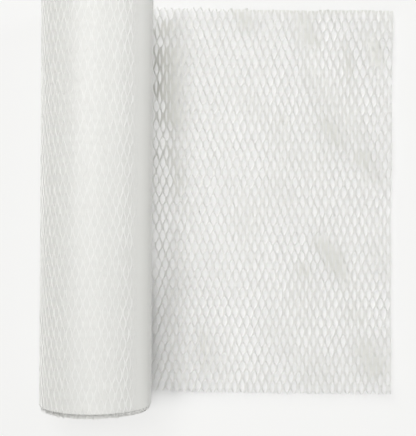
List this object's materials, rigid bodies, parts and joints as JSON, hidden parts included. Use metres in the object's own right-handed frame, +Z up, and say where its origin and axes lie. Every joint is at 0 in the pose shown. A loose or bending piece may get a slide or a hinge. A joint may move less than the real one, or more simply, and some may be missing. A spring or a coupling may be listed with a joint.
{
  "type": "honeycomb paper roll",
  "caption": "Roll of white slit paper that opens into a honeycomb mesh, lying on its side with the free end drawn out flat beside it.",
  "frame": {"origin": "on the ground under the roll's axis, at the middle of the web's width", "axes": "+Y along the roll's axis, +X towards the free end of the sheet, +Z up"},
  "size_m": [0.2695, 0.3052, 0.0822],
  "materials": {
    "white_paper": "matte",
    "core_board": "matte"
  },
  "bodies": {
    "root": {"honeycomb_web": "white_paper", "core_tube": "core_board"}
  },
  "joints": []
}
